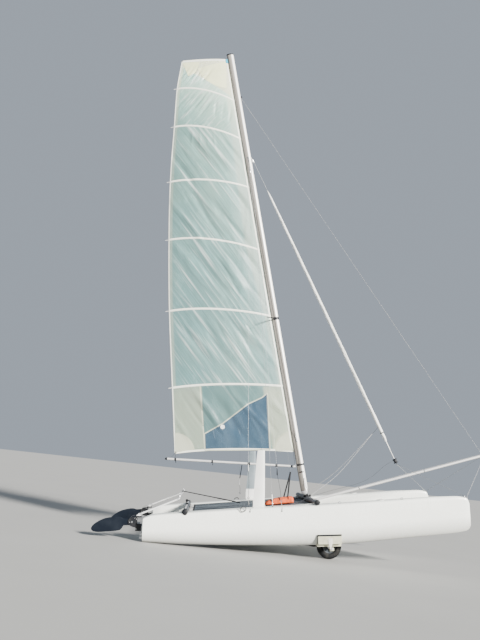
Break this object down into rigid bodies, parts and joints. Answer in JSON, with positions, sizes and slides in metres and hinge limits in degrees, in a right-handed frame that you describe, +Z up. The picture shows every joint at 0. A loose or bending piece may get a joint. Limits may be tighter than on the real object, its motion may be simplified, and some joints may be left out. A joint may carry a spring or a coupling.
{
  "type": "sailing catamaran",
  "caption": "Beach sailing catamaran with raised rudders and daggerboards, hoisted mainsail and furled jib, parked on a wheeled beach trolley.",
  "frame": {"origin": "on the ground, under the middle of the whole length and beam", "axes": "+X towards the bows, +Y to port, +Z up"},
  "size_m": [7.0714, 2.599, 9.7535],
  "materials": {
    "gelcoat": "glossy white moulded hull skin",
    "alloy": "silver anodised tube",
    "black_plastic": "black moulded castings and blades",
    "steel": "stainless wire and fittings",
    "sailcloth": "pale translucent laminate sailcloth",
    "mesh": "grey woven trampoline mesh",
    "bag_cloth": "orange coated cloth",
    "film": "clear window film",
    "tyre": "matt black rubber",
    "plastic": "cream moulded plastic"
  },
  "bodies": {
    "root": {"hull_starboard": "gelcoat", "hull_port": "gelcoat", "front_beam": "alloy", "rear_beam": "alloy", "dolphin_striker_post": "steel", "dolphin_striker_rod_starboard": "steel", "dolphin_striker_rod_port": "steel", "traveller_track": "black_plastic", "traveller_car": "steel", "trampoline": "mesh", "spinnaker_bag": "bag_cloth", "spinnaker_pole": "alloy", "pole_bridle_starboard": "steel", "pole_bridle_port": "steel", "mast_step": "steel", "shroud_starboard": "steel", "shroud_port": "steel", "forestay_bridle_starboard": "steel", "forestay_bridle_port": "steel", "furler_drum": "black_plastic", "furled_jib": "sailcloth", "gudgeons_starboard": "steel", "gudgeons_port": "steel", "trolley_axle": "alloy", "cradle_starboard": "plastic", "cradle_port": "plastic"},
    "mast": {"mast": "alloy", "mast_base": "black_plastic", "mast_head": "black_plastic", "spreaders": "black_plastic", "diamond_wire_lower_starboard": "steel", "diamond_wire_lower_port": "steel", "diamond_wire_upper_starboard": "steel", "diamond_wire_upper_port": "steel", "gooseneck": "steel"},
    "sail": {"boom": "alloy", "mainsail": "sailcloth", "sail_window": "film"},
    "rudder_starboard": {"rudder_stock_starboard": "black_plastic", "tiller_starboard": "alloy"},
    "blade_starboard": {"rudder_blade_starboard": "black_plastic"},
    "board_starboard": {"daggerboard_starboard": "gelcoat"},
    "wheel_starboard": {"wheel_starboard_tyre": "tyre", "wheel_starboard_rim": "plastic"},
    "rudder_port": {"rudder_stock_port": "black_plastic", "tiller_port": "alloy"},
    "blade_port": {"rudder_blade_port": "black_plastic"},
    "board_port": {"daggerboard_port": "gelcoat"},
    "wheel_port": {"wheel_port_tyre": "tyre", "wheel_port_rim": "plastic"},
    "crossbar": {"tiller_crossbar": "alloy", "tiller_extension": "black_plastic"}
  },
  "joints": [
    {"name": "wheel_starboard_spin", "type": "hinge", "parent": "root", "child": "wheel_starboard", "pos_m": [0.48437, -0.843, 0.21], "axis": [0, 1, 0], "continuous": true},
    {"name": "rudder_starboard_steer", "type": "hinge", "parent": "root", "child": "rudder_starboard", "pos_m": [-2.70632, -1.1175, -0.00512], "axis": [-0.0688, 0, 0.9976], "range_deg": [-35, 35]},
    {"name": "rudder_starboard_kick", "type": "hinge", "parent": "rudder_starboard", "child": "blade_starboard", "pos_m": [-2.8773, -1.1175, 0.29382], "axis": [0, -1, 0], "range_deg": [0, 84]},
    {"name": "board_starboard_slide", "type": "slide", "parent": "root", "child": "board_starboard", "axis": [0.0976, 0, -0.9952], "range_m": [0, 0.85]},
    {"name": "wheel_port_spin", "type": "hinge", "parent": "root", "child": "wheel_port", "pos_m": [0.48437, 0.843, 0.21], "axis": [0, 1, 0], "continuous": true},
    {"name": "rudder_port_steer", "type": "hinge", "parent": "root", "child": "rudder_port", "pos_m": [-2.70632, 1.1175, -0.00512], "axis": [-0.0688, 0, 0.9976], "range_deg": [-35, 35]},
    {"name": "rudder_port_kick", "type": "hinge", "parent": "rudder_port", "child": "blade_port", "pos_m": [-2.8773, 1.1175, 0.29382], "axis": [0, -1, 0], "range_deg": [0, 78.7]},
    {"name": "board_port_slide", "type": "slide", "parent": "root", "child": "board_port", "axis": [0.0976, 0, -0.9952], "range_m": [0, 0.85]},
    {"name": "crossbar_link", "type": "hinge", "parent": "rudder_port", "child": "crossbar", "pos_m": [-2.14207, 1.1175, 0.78058], "axis": [-0.0688, 0, 0.9976], "range_deg": [-35, 35]},
    {"name": "mast_rotation", "type": "hinge", "parent": "root", "child": "mast", "pos_m": [0.13478, 0, 0.99659], "axis": [-0.2605, 0, 0.9655], "range_deg": [-60, 60]},
    {"name": "boom_swing", "type": "hinge", "parent": "mast", "child": "sail", "pos_m": [-0.10474, 0, 1.48506], "axis": [-0.2605, 0, 0.9655], "range_deg": [-15, 15]}
  ],
  "couplings": [
    {"joint": "rudder_starboard_steer", "follows": "rudder_port_steer", "ratio": 1},
    {"joint": "crossbar_link", "follows": "rudder_port_steer", "ratio": -1},
    {"joint": "boom_swing", "follows": "mast_rotation", "ratio": -0.25}
  ]
}
